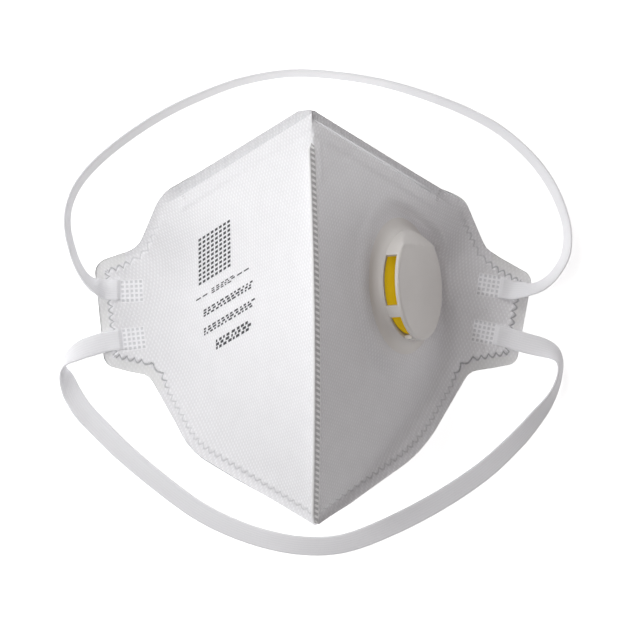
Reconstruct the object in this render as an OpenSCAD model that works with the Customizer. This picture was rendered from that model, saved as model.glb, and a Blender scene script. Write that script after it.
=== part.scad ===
// Fold-flat disposable dust mask with an exhalation valve, opened and laid on its face side.
// X runs from cheek to cheek, +Y points to the nose and +Z out of the front of the mask.
// The two tabs rest on Z = 0, and the origin is under the middle of the mask.

/* [Mask body] */
// Distance from the nose tip to the chin tip, seen from the front
mask_h = 150; // [144:1:156]
// Height of the front ridge above the table at its highest point
ridge_top = 79; // [74:1:82]
// Height of the rim at the nose tip
nose_tip_z = 36; // [32:1:40]
// Height of the rim at the chin tip
chin_tip_z = 32; // [28:1:36]
// Steepness of the cheek panels beside the ridge, as rise over run
panel_slope = 1.46; // [1.4:0.02:1.5]
// Steepness of the panels along the nose, as rise over run
nose_slope = 1.05; // [1:0.01:1.1]
// Steepness of the wings between the cheek crease and the tabs
wing_slope = 0.34; // [0.3:0.01:0.36]

/* [Plies] */
// Thickness of the outer spunbond ply
outer_t = 0.45; // [0.4:0.05:0.5]
// Thickness of the stiffening ply
support_t = 0.6; // [0.5:0.05:0.6]
// Thickness of the melt-blown filter ply
filter_t = 0.5; // [0.4:0.05:0.5]
// Thickness of the inner lining
lining_t = 0.3; // [0.25:0.05:0.35]
// Air between two plies
ply_gap = 0.05; // [0.04:0.01:0.06]
// Extra room between the outer ply and the stiffening ply where the nose clip lies
clip_room = 1.6; // [1.5:0.1:1.8]

/* [Front seam] */
// Height of the welded seam fin above the ridge
fin_h = 2.8; // [2:0.1:3.5]
// Thickness of the welded seam fin
fin_t = 0.9; // [0.7:0.1:1]
// How far the fin leans over to the left
fin_lean = 1.8; // [1:0.1:2.2]
// Y of the seam's upper end, above which the plies are only folded
fin_start_y = 63; // [58:1:66]

/* [Nose] */
// Reach of the nose clip to each side of the ridge, seen from the front
clip_reach = 46; // [40:1:48]
// Width of the nose clip, seen from the front
clip_w = 4; // [3.5:0.5:4]
// Thickness of the nose clip
clip_t = 0.5; // [0.4:0.1:0.5]
// Distance of the nose clip's middle from the nose edge, seen from the front
clip_inset = 5.6; // [5.4:0.1:6]
// Reach of the nose foam to each side of the ridge, seen from the front
foam_reach = 40; // [32:1:42]
// Width of the nose foam, seen from the front
foam_w = 8.5; // [7:0.5:10]
// Thickness of the nose foam
foam_t = 3; // [2:0.5:3.5]

/* [Head straps] */
// Width of both elastic straps
strap_w = 7.6; // [7:0.1:8]
// Thickness of both elastic straps
strap_t = 1; // [0.9:0.1:1]

/* [Valve] */
// Radius of the valve's flange
flange_r = 25.4; // [25:0.1:25.6]
// Radius of the valve's cover
cover_r = 20.2; // [20:0.1:20.4]
// Height of the middle of the valve's cover above the fabric
cover_h = 8.4; // [8.2:0.1:9]
// How far the cover's top leans down towards the cheek, in degrees
cover_lean = 5.4; // [4:0.2:5.6]
// Radius of the breathing hole through the seat
seat_r = 15.6; // [15:0.1:15.8]
// Radius of the flexible flap
flap_r = 17.8; // [17.4:0.1:18]
// Thickness of the flexible flap
flap_t = 0.4; // [0.35:0.05:0.45]

/* [Hidden] */

// Half outlines seen from the front, nose tip to chin tip: x, y, corner radius, steps in the corner.
// The welded tabs differ a little from side to side.
tip_x = 1.2;
half_h = mask_h / 2;
left_outline = [
    [tip_x, half_h, 0, 0], [53.2, 45.6, 14, 3], [63.8, 25.2, 8, 2], [79.8, 22.2, 5, 3],
    [75.8, -18.2, 4, 3], [59.6, -20.6, 6, 2], [41.4, -50.7, 60, 4], [tip_x, -half_h, 0, 0]
];
right_outline = [
    [tip_x, half_h, 0, 0], [58.4, 42.5, 9, 3], [65.6, 24.4, 6, 2], [81.4, 15.6, 4.5, 3],
    [76, -17.8, 3.5, 3], [58.6, -20.8, 5, 2], [41.4, -50.7, 60, 4], [tip_x, -half_h, 0, 0]
];
nose_slant = -0.569;
rim_step = 8;
seam_x = 0.3;
middle_y = 2;
flat_half = 20;
tab_flat_x = 64;
crease_soft = 12;
ramp_soft = 4;
slope_from_y = 10;
slope_to_y = 46;
columns = [0, 0.07, 0.14, 0.21, 0.28, 0.36, 0.44, 0.52, 0.6, 0.68, 0.76, 0.84, 0.92, 1];

// Depths below the outer face at which each ply starts and ends
support_top = outer_t + ply_gap;
filter_top = support_top + support_t + ply_gap;
lining_top = filter_top + filter_t + ply_gap;
stack_t = lining_top + lining_t;

// Room for the nose clip fades out between these distances from the nose edge
room_full = 11;
room_end = 17;

// Valve seat: the flat place on the right panel, a little steeper than the panel itself
valve_x = 32;
valve_y = 11;
seat_lean = 0.14;
flat_r = 31;
blend_r = 42;
flat_squeeze = 0.57;
seat_from_edge = 11.5;
seat_fade = 5;
grid_step = 0.5;

// Valve, measured from the fabric at the seat, and the angles of its outlet windows
flange_low = 0.15;
flange_t = 1.2;
seat_wall = 1.3;
seat_h = 3;
flap_gap = 0.05;
spigot_r = seat_r + 1.2;
hole_r = spigot_r + 0.4;
spoke_w = 1.6;
chord_y = 13;
cover_wall = 1.1;
cover_top_t = 1;
cover_fit = 0.1;
window_low = 3.85;
window_lip = 1.6;
windows = [[147, 202], [215, 252], [288, 325], [338, 393]];
facet_y = 14.5;
facet_tilt = 30;
ring_t = 1.2;
ring_r = 21.5;
ring_z = -stack_t - 0.35;
backing_fit = 0.15;

foam_clear = 0.9;
seam_clear = 0.35;
strap_corners = [[1, 0.5], [0.9, 1], [-0.9, 1], [-1, 0.5], [-1, -0.5], [-0.9, -1], [0.9, -1], [1, -0.5]];
strap_ring = len(strap_corners);

// Strap routes: x, y, z of the middle, and the roll of the strap's width about its run, in degrees
upper_route = [
    [-62, 10.5, 3.6, 0], [-70, 11, 2.95, 0], [-76, 11.4, 3.1, 0], [-80, 12.5, 3.7, -8],
    [-83.6, 15, 4, -34], [-86, 19.5, 4, -62], [-88, 26, 4, -72], [-89.7, 34.5, 4, -74],
    [-89, 42.5, 4, -74], [-85.4, 50.5, 4, -71], [-78.5, 58.5, 4, -69], [-68, 67, 4, -69],
    [-55, 75.3, 4, -69], [-41.5, 81.8, 4, -70], [-25, 87.7, 4, -72], [-7, 90.6, 4, -74],
    [10, 89.7, 4, -74], [27, 86.8, 4, -73], [43, 82, 4, -71], [58, 76, 4, -70],
    [71, 68.7, 4, -70], [81.5, 59.5, 4, -69], [88.5, 50.5, 4, -69], [93.2, 41, 4, -71],
    [95.8, 31, 4, -73], [95, 22, 4, -70], [91, 15, 4, -58], [86, 10.8, 4, -32],
    [81.4, 9, 3.7, -8], [76, 8.9, 3.1, 0], [70.5, 10, 2.95, 0], [62.2, 11.7, 3.6, 0]
];
lower_route = [
    [-61.6, -6.6, 3.8, 0], [-70, -7.2, 2.95, 0], [-76, -8, 3.1, 0], [-80.5, -9.2, 3.5, -3],
    [-85, -11.4, 3.7, -8], [-88.6, -14.6, 3.6, -6], [-90.3, -18.6, 3.4, 0], [-90, -23, 3.2, 8],
    [-88.4, -27.5, 3, 14], [-85.2, -33, 2.8, 12], [-79.5, -39.5, 2.4, 0], [-70, -49, 2.2, -12],
    [-57, -60.3, 2.2, -17], [-44, -70.2, 2.2, -18], [-32, -76.8, 2.2, -18], [-18, -82, 2.2, -18],
    [-3, -84.8, 2.2, -18], [12, -83.9, 2.2, -16], [30, -77.3, 2, -12], [47.5, -68.4, 2, -12],
    [63, -58, 2.2, -15], [75, -46.8, 2.8, -28], [82.6, -38, 3.4, -42], [87, -32.3, 3.8, -56],
    [90, -27, 4, -66], [91.8, -21.6, 4, -66], [90.9, -16.4, 4, -48], [86.8, -12.8, 3.8, -20],
    [81.6, -11, 3.5, -5], [76, -9.5, 3.1, 0], [70.5, -7.8, 2.95, 0], [61.4, -5.8, 3.95, 0]
];

// ---- helper functions ----

function smooth(t) = let (c = max(0, min(1, t))) c * c * (3 - 2 * c);

function soft_max(a, b, k) = max(a, b) + pow(max(0, k - abs(a - b)), 2) / (4 * k);

function soft_ramp(d, b) = d <= -b ? 0 : d >= b ? d : (d + b) * (d + b) / (4 * b);

function xy(c) = [c[0], c[1]];

// The points of a corner b between a and c, rounded to radius r
function rounded(a, b, c, r, n) =
    let (
        u = (a - b) / norm(a - b),
        v = (c - b) / norm(c - b),
        half = acos(u * v) / 2,
        centre = b + (u + v) / norm(u + v) * r / sin(half),
        from = b + u * r / tan(half) - centre,
        to = b + v * r / tan(half) - centre
    )
    [for (k = [0 : n]) let (d = from + (to - from) * k / n) centre + d / norm(d) * r];

function corner_points(o, i) =
    o[i][2] == 0 ? [xy(o[i])] : rounded(xy(o[i - 1]), xy(o[i]), xy(o[i + 1]), o[i][2], o[i][3]);

function refined(path, gap) = [
    for (i = [0 : len(path) - 2])
        let (n = ceil(norm(path[i + 1] - path[i]) / gap))
        for (k = [0 : n - 1]) path[i] + (path[i + 1] - path[i]) * k / n,
    path[len(path) - 1]
];

function rim(o) = refined([for (i = [0 : len(o) - 1]) each corner_points(o, i)], rim_step);

left_rim = rim(left_outline);
right_rim = rim(right_outline);

// ---- the front surface of the mask ----

function beyond(y) = max(0, abs(y - middle_y) - flat_half);

function rim_z(y) =
    let (tip = y > middle_y ? nose_tip_z : chin_tip_z,
         reach = (y > middle_y ? half_h - middle_y : half_h + middle_y) - flat_half)
    tip * pow(beyond(y) / reach, 1.35);

function ridge_z(y) =
    let (tip = y > middle_y ? nose_tip_z : chin_tip_z,
         reach = y > middle_y ? half_h - middle_y : half_h + middle_y)
    ridge_top - stack_t - (ridge_top - stack_t - tip) * pow((y - middle_y) / reach, 2);

function steepness(y) =
    panel_slope - (panel_slope - nose_slope) * smooth((y - slope_from_y) / (slope_to_y - slope_from_y));

// X at which the wing reaches the height of the rim
function wing_end(y) = tab_flat_x - 0.4 * beyond(y) - 0.0134 * pow(beyond(y), 2);

function free_z(x, y) =
    stack_t + rim_z(y) + soft_max(
        ridge_z(y) - rim_z(y) - steepness(y) * x,
        wing_slope * soft_ramp(wing_end(y) - x, ramp_soft),
        crease_soft);

panel_gx = (free_z(valve_x + grid_step, valve_y) - free_z(valve_x - grid_step, valve_y)) / (2 * grid_step);
valve_gx = panel_gx - seat_lean;
valve_gy = (free_z(valve_x, valve_y + grid_step) - free_z(valve_x, valve_y - grid_step)) / (2 * grid_step);
valve_z = free_z(valve_x, valve_y);
valve_pitch = atan(-valve_gx);
valve_roll = asin(valve_gy / norm([valve_gx, valve_gy, 1]));

// Distance from the straight nose edge, seen from the front
nose_a = [tip_x, half_h];
nose_dir = [1, nose_slant] / norm([1, nose_slant]);
function from_nose_edge(x, y) = let (d = [x, y] - nose_a) -(d[0] * -nose_dir[1] + d[1] * nose_dir[0]);

function seat_plane(x, y) = valve_z + valve_gx * (x - valve_x) + valve_gy * (y - valve_y);

function valve_share(x, y) =
    let (d = norm([(x - valve_x) / flat_squeeze, y - valve_y]))
    (1 - smooth((d - flat_r) / (blend_r - flat_r)))
    * smooth((from_nose_edge(x, y) - seat_from_edge) / seat_fade);

// Outer face of a half; the half with the valve is flat under the valve
function face_z(x, y, valve) =
    let (s = valve ? valve_share(x, y) : 0)
    free_z(x, y) * (1 - s) + (s > 0 ? seat_plane(x, y) * s : 0);

// Vertical length that one unit of thickness takes on the sloping face
function tilt(x, y, valve) =
    let (gx = (face_z(x + grid_step, y, valve) - face_z(x, y, valve)) / grid_step,
         gy = (face_z(x, y + grid_step / 2, valve) - face_z(x, y - grid_step / 2, valve)) / grid_step)
    norm([min(0, gx), gy, 1]);

function clip_space(x, y) =
    clip_room * (1 - smooth((from_nose_edge(x, y) - room_full) / (room_end - room_full)))
    * (1 - smooth((x - clip_reach - 4) / 8));

// Height of the layer that lies a given depth below the outer face
function layer_z(x, y, depth, valve) =
    face_z(x, y, valve) - tilt(x, y, valve) * (depth + (depth > outer_t ? clip_space(x, y) : 0));

// ---- grids and tubes ----

// A closed sheet between two grids of points, top rows first
module sheet(top, bottom) {
    r = len(top);
    c = len(top[0]);
    n = r * c;
    points = concat([for (row = top) each row], [for (row = bottom) each row]);
    faces = concat(
        [for (i = [0 : r - 2], j = [0 : c - 2]) each [
            [i * c + j, i * c + j + 1, (i + 1) * c + j + 1],
            [i * c + j, (i + 1) * c + j + 1, (i + 1) * c + j],
            [n + i * c + j, n + (i + 1) * c + j + 1, n + i * c + j + 1],
            [n + i * c + j, n + (i + 1) * c + j, n + (i + 1) * c + j + 1]]],
        [for (i = [0 : r - 2]) each [
            [i * c, (i + 1) * c, n + (i + 1) * c],
            [i * c, n + (i + 1) * c, n + i * c],
            [i * c + c - 1, n + (i + 1) * c + c - 1, (i + 1) * c + c - 1],
            [i * c + c - 1, n + i * c + c - 1, n + (i + 1) * c + c - 1]]],
        [for (j = [0 : c - 2]) each [
            [j, n + j + 1, j + 1],
            [j, n + j, n + j + 1],
            [(r - 1) * c + j, (r - 1) * c + j + 1, n + (r - 1) * c + j + 1],
            [(r - 1) * c + j, n + (r - 1) * c + j + 1, n + (r - 1) * c + j]]]
    );
    polyhedron(points = points, faces = faces, convexity = 10);
}

// Half a ply between two depths below the outer face
module ply(depth_top, depth_bottom, valve) {
    function level(depth) = [
        for (p = valve ? right_rim : left_rim) [
            for (u = columns)
                let (x = seam_x + (p[0] - seam_x) * u) [x, p[1], layer_z(x, p[1], depth, valve)]]];
    sheet(level(depth_top), level(depth_bottom));
}

// Points across the nose, parallel to the nose edge and a given distance and depth below it
function nose_line(reach, inset, depth, n) = [
    for (k = [-n : n])
        let (x = reach * k / n,
             half_x = max(abs(x), seam_x),
             y = nose_a[1] + (abs(x) - nose_a[0]) * nose_dir[1] / nose_dir[0] - inset / nose_dir[0])
        [x, y, face_z(half_x, y, false) - tilt(half_x, y, false) * depth]];

// A strip across the nose between two depths
module nose_strip(reach, inset, width, depth, thick, n) {
    edges = [inset - width / 2, inset + width / 2];
    sheet([for (e = edges) nose_line(reach, e, depth, n)], [for (e = edges) nose_line(reach, e, depth + thick, n)]);
}

// Unit vector along a route at point i
function along(route, i) =
    let (a = route[max(0, i - 1)], b = route[min(len(route) - 1, i + 1)],
         d = [b[0] - a[0], b[1] - a[1], b[2] - a[2]])
    d / norm(d);

// The strap's outline at point i, a flat oval that rolls about its run
function strap_ring_points(route, i) =
    let (t = along(route, i),
         side = [t[1], -t[0], 0] / norm([t[0], t[1]]),
         up = cross(side, t),
         roll = route[i][3],
         wide = side * cos(roll) + up * sin(roll),
         thin = up * cos(roll) - side * sin(roll),
         p = [route[i][0], route[i][1], route[i][2]],
         hw = strap_w / 2, ht = strap_t / 2)
    [for (c = strap_corners)
        p + wide * hw * c[0] + thin * ht * c[1]];

module strap(route) {
    n = len(route);
    points = [for (i = [0 : n - 1]) each strap_ring_points(route, i)];
    faces = concat(
        [[for (k = [0 : strap_ring - 1]) k]],
        [[for (k = [strap_ring - 1 : -1 : 0]) (n - 1) * strap_ring + k]],
        [for (i = [0 : n - 2], k = [0 : strap_ring - 1])
            let (a = i * strap_ring + k, b = i * strap_ring + (k + 1) % strap_ring)
            each [[a, a + strap_ring, b + strap_ring], [a, b + strap_ring, b]]]
    );
    polyhedron(points = points, faces = faces, convexity = 10);
}

module at_valve() {
    translate([valve_x, valve_y, valve_z]) rotate([valve_roll, valve_pitch, 0]) children();
}

// ---- fabric ----

module right_half(depth_top, depth_bottom) {
    difference() {
        ply(depth_top, depth_bottom, true);
        at_valve() translate([0, 0, -8]) cylinder(r = hole_r, h = 12, $fn = 64);
    }
}

module left_half(depth_top, depth_bottom) {
    mirror([1, 0, 0]) ply(depth_top, depth_bottom, false);
}

module outer_panel_left() { color("white") left_half(0, outer_t); }
module outer_panel_right() { color("white") right_half(0, outer_t); }
module support_ply_left() { color("ghostwhite") left_half(support_top, support_top + support_t); }
module support_ply_right() { color("ghostwhite") right_half(support_top, support_top + support_t); }
module filter_ply_left() { color("aliceblue") left_half(filter_top, filter_top + filter_t); }
module filter_ply_right() { color("aliceblue") right_half(filter_top, filter_top + filter_t); }
module lining_left() { color("snow") left_half(lining_top, stack_t); }
module lining_right() { color("snow") right_half(lining_top, stack_t); }

// The welded fin along the ridge, leaning to the left
module centre_seam() {
    rows = 22;
    color("whitesmoke")
        sheet(
            [for (i = [0 : rows])
                let (y = fin_start_y + (-half_h - fin_start_y) * i / rows,
                     z = face_z(seam_x, y, false) + fin_h)
                [[-fin_lean - fin_t / 2, y, z], [-fin_lean + fin_t / 2, y, z]]],
            [for (i = [0 : rows])
                let (y = fin_start_y + (-half_h - fin_start_y) * i / rows,
                     z = face_z(seam_x, y, false) + seam_clear)
                [[-fin_t / 2, y, z], [fin_t / 2, y, z]]]
        );
}

module nose_clip() {
    color("silver")
        nose_strip(clip_reach, clip_inset, clip_w, outer_t + (clip_room - clip_t) / 2, clip_t, 8);
}

module nose_foam() {
    color("gainsboro")
        nose_strip(foam_reach, clip_inset + 0.6, foam_w, clip_room + stack_t + foam_clear, foam_t, 8);
}

module upper_strap() { color("whitesmoke") strap(upper_route); }
module lower_strap() { color("whitesmoke") strap(lower_route); }

// ---- valve, drawn with its flange on the fabric at local z = 0 ----

module ring(r_out, r_in, z_low, z_high) {
    translate([0, 0, z_low]) difference() {
        cylinder(r = r_out, h = z_high - z_low, $fn = 64);
        translate([0, 0, -1]) cylinder(r = r_in, h = z_high - z_low + 2, $fn = 64);
    }
}

// Flange, seat wall, spigot through the fabric and three spokes in the hole
module valve_base() {
    color("ivory") at_valve() union() {
        ring(flange_r, seat_r, flange_low, flange_t);
        ring(seat_r + seat_wall, seat_r, flange_t, seat_h);
        ring(spigot_r, seat_r, ring_z - ring_t, flange_low);
        for (a = [30, 90, 150])
            rotate([0, 0, a]) translate([-seat_r - 0.3, -spoke_w / 2, 0.3])
                cube([2 * seat_r + 0.6, spoke_w, 1.5]);
    }
}

// Thin flexible disc that lifts off the seat when the wearer breathes out
module valve_flap() {
    color("gold") at_valve() difference() {
        translate([0, 0, seat_h + flap_gap]) cylinder(r = flap_r, h = flap_t, $fn = 64);
        translate([-flap_r, chord_y, seat_h - 1]) cube([2 * flap_r, flap_r, 4]);
    }
}

// Bar that clamps the flap's edge at the hinge line, with two pegs
module flap_clamp() {
    color("ivory") at_valve() intersection() {
        union() {
            translate([-9, chord_y + 0.1, seat_h + flap_gap]) cube([18, 3, 1.5]);
            for (x = [-6, 6])
                translate([x, chord_y + 1.6, seat_h + 0.5]) cylinder(r = 0.9, h = 1.6, $fn = 32);
        }
        cylinder(r = flap_r + 0.2, h = 20, $fn = 64);
    }
}

// A cylinder cut off by the leaning top and by the slanted facet at the hinge side
module capped(r, low, high) {
    difference() {
        translate([0, 0, low]) cylinder(r = r, h = high + 4 - low, $fn = 64);
        translate([0, 0, high]) rotate([0, cover_lean, 0]) union() {
            translate([-2 * flange_r, -2 * flange_r, 0]) cube([4 * flange_r, 4 * flange_r, 12]);
            translate([-flange_r, facet_y, 0]) rotate([-facet_tilt, 0, 0]) cube([2 * flange_r, 16, 12]);
        }
    }
}

// A wedge from the axis outwards between two angles, for cutting a window in the wall
module sector(from, to) {
    far = 1.6 * cover_r;
    mid = (from + to) / 2;
    translate([0, 0, window_low]) linear_extrude(height = cover_h)
        polygon([[0, 0], [far * cos(from), far * sin(from)], [far * cos(mid), far * sin(mid)],
                 [far * cos(to), far * sin(to)]]);
}

// Round cap with four outlet windows in its wall and a slanted facet at the hinge side
module valve_cover() {
    color("ivory") at_valve() difference() {
        capped(cover_r, flange_t + cover_fit, cover_h);
        capped(cover_r - cover_wall, 0, cover_h - cover_top_t);
        for (w = windows)
            difference() {
                sector(w[0], w[1]);
                cylinder(r = cover_r - cover_wall - 1, h = 3 * cover_h, $fn = 64);
                translate([0, 0, cover_h - window_lip]) rotate([0, cover_lean, 0])
                    translate([-2 * flange_r, -2 * flange_r, 0])
                        cube([4 * flange_r, 4 * flange_r, 3 * cover_h]);
            }
    }
}

module valve_backing_ring() {
    color("ivory") at_valve() ring(ring_r, spigot_r + backing_fit, ring_z - ring_t, ring_z);
}

outer_panel_left();
outer_panel_right();
support_ply_left();
support_ply_right();
filter_ply_left();
filter_ply_right();
lining_left();
lining_right();
centre_seam();
nose_clip();
nose_foam();
upper_strap();
lower_strap();
valve_base();
valve_flap();
flap_clamp();
valve_cover();
valve_backing_ring();
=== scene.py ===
"""A fold-flat dust mask with an exhalation valve, opened and lying on its face side, seen from above."""
from math import asin, atan, cos, pi, radians, sin, sqrt, tan

import bmesh
import bpy
import numpy as np
from mathutils import Matrix, Vector


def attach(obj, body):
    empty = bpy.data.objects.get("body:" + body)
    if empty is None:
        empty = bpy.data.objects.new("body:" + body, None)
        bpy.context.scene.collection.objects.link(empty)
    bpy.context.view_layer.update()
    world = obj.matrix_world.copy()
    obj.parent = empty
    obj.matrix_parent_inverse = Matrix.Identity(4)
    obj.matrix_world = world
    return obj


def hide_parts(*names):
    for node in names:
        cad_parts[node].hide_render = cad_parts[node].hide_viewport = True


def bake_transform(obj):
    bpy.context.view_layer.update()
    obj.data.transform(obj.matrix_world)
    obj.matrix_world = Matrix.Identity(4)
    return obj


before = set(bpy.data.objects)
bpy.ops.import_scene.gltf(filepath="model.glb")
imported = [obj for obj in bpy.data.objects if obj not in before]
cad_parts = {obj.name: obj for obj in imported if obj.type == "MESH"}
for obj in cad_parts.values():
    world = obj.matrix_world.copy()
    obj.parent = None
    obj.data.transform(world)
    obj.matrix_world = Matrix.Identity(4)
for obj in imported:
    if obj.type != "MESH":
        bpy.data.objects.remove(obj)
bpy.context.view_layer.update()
MM = 0.001

# ---- sizes of the mask, in millimetres, the same as the design's or close to them ----

HALF_H = 75.0
RIDGE_TOP = 79.0
NOSE_TIP_Z = 36.0
CHIN_TIP_Z = 32.0
PANEL_SLOPE = 1.46
NOSE_SLOPE = 1.05
WING_SLOPE = 0.34
OUTER_T, SUPPORT_T, FILTER_T, LINING_T, PLY_GAP = 0.45, 0.6, 0.5, 0.3, 0.05
SUPPORT_TOP = OUTER_T + PLY_GAP
FILTER_TOP = SUPPORT_TOP + SUPPORT_T + PLY_GAP
LINING_TOP = FILTER_TOP + FILTER_T + PLY_GAP
STACK_T = LINING_TOP + LINING_T
MIDDLE_Y, FLAT_HALF, TAB_FLAT_X = 2.0, 20.0, 64.0
RIDGE_ROUND = 0.8        # rounding of the fold along the ridge
CREASE_SOFT, SHARP_CREASE, RAMP_SOFT = 12.0, 4.0, 4.0
SLOPE_FROM_Y, SLOPE_TO_Y = 10.0, 46.0
TIP_X = 1.2
OUTLINES = {  # x, y and corner radius of each half outline, nose tip to chin tip
    "left": [(TIP_X, 75.3, 0), (4.8, 75, 2), (55.5, 45.4, 14), (64.2, 26, 8), (80.1, 21.3, 5),
             (76.8, -16.8, 5), (60.6, -20.6, 5), (45.4, -47.9, 28), (TIP_X, -75.6, 0)],
    "right": [(TIP_X, HALF_H, 0), (57.8, 41.2, 7), (65.9, 24.2, 6), (82.9, 14.4, 4.5),
              (76.6, -18.1, 4), (59, -20.9, 6), (41, -49, 50), (TIP_X, -75.2, 0)],
}
NOSE_SLANT = -0.595
LEFT_NOSE_RISE = 2.0     # how much higher the left half's nose edge lies
VALVE_X, VALVE_Y, SEAT_LEAN = 32.0, 11.0, 0.14
VALVE_FLAT_R, VALVE_BLEND_R, FLAT_SQUEEZE = 26.0, 37.0, 0.55
SEAT_FROM_EDGE, SEAT_FADE = 11.5, 5.0
FIN_H, FIN_T, FIN_LEAN, FIN_TOP_Y = 2.8, 0.9, 1.8, 63.0
CLIP_REACH, CLIP_INSET, CLIP_ROOM = 46.0, 5.6, 1.6
CLIP_W, CLIP_T = 5.6, 0.5            # the width is measured along the slope
FOAM_REACH, FOAM_INSET = 40.0, 6.2
FOAM_W, FOAM_T, FOAM_CLEAR = 9.0, 3.0, 0.35
ROOM_FULL, ROOM_END = 11.0, 17.0
STRAP_W, STRAP_T = 7.6, 1.0

# Strap routes: x, y, z of the middle, and the roll of the strap's width about its run, in degrees
UPPER_ROUTE = [
    (-62, 10.5, 3.6, 0), (-70, 11, 2.95, 0), (-75.5, 11.4, 3.6, -12), (-79.4, 12.8, 4.9, -44),
    (-83, 15.6, 4.6, -64), (-85.8, 20, 4.1, -70), (-88, 26, 4, -72), (-89.7, 34.5, 4, -74),
    (-89, 42.5, 4, -74), (-85.4, 50.5, 4, -71), (-78.5, 58.5, 4, -69), (-68, 67, 4, -69),
    (-55, 75.3, 4, -69), (-41.5, 81.8, 4, -70), (-25, 87.7, 4, -72), (-7, 90.6, 4, -74),
    (10, 89.7, 4, -74), (27, 86.8, 4, -73), (43, 82, 4, -71), (58, 76, 4, -70),
    (71, 68.7, 4, -70), (81.5, 59.5, 4, -69), (88.5, 50.5, 4, -69), (93.2, 41, 4, -71),
    (95.8, 31, 4, -73), (95, 22, 4, -70), (91, 15, 4.3, -68), (86, 10.8, 5, -63),
    (81, 9.2, 5.3, -54), (76, 9, 4.2, -24), (70.5, 10, 2.95, 0), (62.2, 11.7, 3.6, 0)
]
LOWER_ROUTE = [          # the band turns over once, at its bend on the left
    (-61.6, -6.6, 3.6, 0), (-70, -7.2, 2.95, 0), (-76, -8, 3.1, 0), (-80.5, -9.2, 3.5, -6),
    (-84.9, -10.7, 3.9, -22), (-88.5, -12.9, 4.1, -46), (-91.1, -15.8, 4.3, -80),
    (-91.5, -19, 4.2, -118), (-90.4, -22.8, 3.6, -144), (-88.7, -27.2, 3, -160), (-85.3, -32.8, 2.6, -170),
    (-80.4, -38.4, 2.2, -180), (-70, -49, 2.2, -192), (-57, -60.3, 2.2, -197), (-44, -70.2, 2.2, -198),
    (-32, -76.8, 2.2, -198), (-18, -82, 2.2, -198), (-3, -84.8, 2.2, -198), (12, -83.9, 2.2, -196),
    (30, -77.3, 2, -190), (47.5, -68.4, 2, -190), (63.4, -58, 2.2, -195), (75.9, -46.8, 2.8, -206),
    (83.7, -38, 3.4, -220), (88.1, -32.3, 3.8, -236), (90.9, -27, 4, -248), (92.4, -21.5, 4, -253),
    (92.2, -17.3, 4.1, -246), (89.8, -14.2, 4, -220), (86, -12.4, 3.8, -198), (81, -11, 3.5, -184),
    (76, -9.5, 3.1, -180), (70.5, -7.8, 2.95, -180), (60.2, -5.6, 3.6, -180)
]

# ---- the front surface of the mask ----


def smooth(t):
    c = np.clip(t, 0, 1)
    return c * c * (3 - 2 * c)


def soft_max(a, b, k):
    return np.maximum(a, b) + np.maximum(0, k - np.abs(a - b)) ** 2 / (4 * k)


def soft_ramp(d, b):
    return np.where(d <= -b, 0, np.where(d >= b, d, (d + b) ** 2 / (4 * b)))


def rounded(a, b, c, r, step):
    """The points of corner b between a and c, rounded to radius r."""
    a, b, c = (np.array(p, float) for p in (a, b, c))
    u = (a - b) / np.linalg.norm(a - b)
    v = (c - b) / np.linalg.norm(c - b)
    half = np.arccos(u @ v) / 2
    centre = b + (u + v) / np.linalg.norm(u + v) * r / sin(half)
    start = b + u * r / tan(half) - centre
    end = b + v * r / tan(half) - centre
    n = max(3, int(np.linalg.norm(end - start) / step))
    chords = [start + (end - start) * k / n for k in range(n + 1)]
    return [centre + d / np.linalg.norm(d) * r for d in chords]


def outline_points(outline, step):
    """A half outline as evenly spaced points, nose tip to chin tip, and how far along it each one is."""
    corners = [np.array(outline[0][:2], float)]
    for k in range(1, len(outline) - 1):
        corners += rounded(outline[k - 1][:2], outline[k][:2], outline[k + 1][:2], outline[k][2], 0.5)
    corners.append(np.array(outline[-1][:2], float))
    corners = np.array(corners)
    run = np.concatenate([[0], np.cumsum(np.linalg.norm(np.diff(corners, axis=0), axis=1))])
    at = np.linspace(0, run[-1], int(run[-1] / step) + 1)
    return np.stack([np.interp(at, run, corners[:, 0]), np.interp(at, run, corners[:, 1])], axis=1), at


RIMS = {side: outline_points(outline, 0.5) for side, outline in OUTLINES.items()}


def beyond(y):
    return np.maximum(0, np.abs(y - MIDDLE_Y) - FLAT_HALF)


def rim_z(y):
    tip = np.where(y > MIDDLE_Y, NOSE_TIP_Z, CHIN_TIP_Z)
    reach = np.where(y > MIDDLE_Y, HALF_H - MIDDLE_Y, HALF_H + MIDDLE_Y) - FLAT_HALF
    return tip * (beyond(y) / reach) ** 1.35


def ridge_z(y):
    tip = np.where(y > MIDDLE_Y, NOSE_TIP_Z, CHIN_TIP_Z)
    reach = np.where(y > MIDDLE_Y, HALF_H - MIDDLE_Y, HALF_H + MIDDLE_Y)
    top = RIDGE_TOP - STACK_T
    return top - (top - tip) * ((y - MIDDLE_Y) / reach) ** 2


def steepness(y):
    share = smooth((y - SLOPE_FROM_Y) / (SLOPE_TO_Y - SLOPE_FROM_Y))
    return PANEL_SLOPE - (PANEL_SLOPE - NOSE_SLOPE) * share


def wing_end(y):
    return TAB_FLAT_X - 0.4 * beyond(y) - 0.0134 * beyond(y) ** 2


def free_z(x, y, crease=CREASE_SOFT):
    panel = ridge_z(y) - rim_z(y) - steepness(y) * x
    wing = WING_SLOPE * soft_ramp(wing_end(y) - x, RAMP_SOFT)
    return STACK_T + rim_z(y) + soft_max(panel, wing, crease)


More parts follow.
